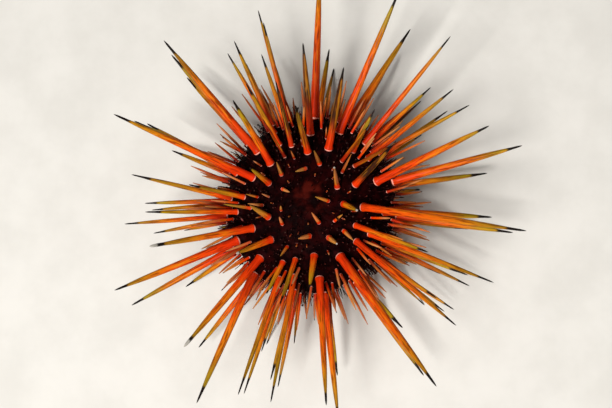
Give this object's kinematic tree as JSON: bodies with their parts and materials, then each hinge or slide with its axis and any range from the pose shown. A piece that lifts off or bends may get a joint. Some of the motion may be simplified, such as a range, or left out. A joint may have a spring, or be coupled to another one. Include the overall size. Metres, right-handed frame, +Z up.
{
  "type": "sea urchin",
  "caption": "Caribbean reef urchin with a flattened dark test and long pointed spines spread all round, standing on its lowest spines.",
  "frame": {"origin": "on the floor, under the middle of the box round the whole animal with its spines", "axes": "+Z up through the apex, +X to the right and +Y to the top of the picture, which looks down on the animal"},
  "size_m": [0.0908, 0.1032, 0.0457],
  "materials": {
    "spine_orange": "smooth calcite, red-orange at the base and dark at the tip",
    "spine_rust": "smooth calcite, rust red to orange",
    "skin_dark_red": "soft wet skin over plates",
    "skin_maroon": "soft wet skin",
    "tooth_white": "hard white calcite"
  },
  "bodies": {
    "root": {"interambulacrum_1": "spine_orange", "interambulacrum_2": "spine_orange", "interambulacrum_3": "spine_orange", "interambulacrum_4": "spine_orange", "interambulacrum_5": "spine_orange", "ambulacrum_1": "spine_rust", "ambulacrum_2": "spine_rust", "ambulacrum_3": "spine_rust", "ambulacrum_4": "spine_rust", "ambulacrum_5": "spine_rust", "apical_disc": "skin_dark_red", "peristome": "skin_maroon", "teeth": "tooth_white"}
  },
  "joints": []
}
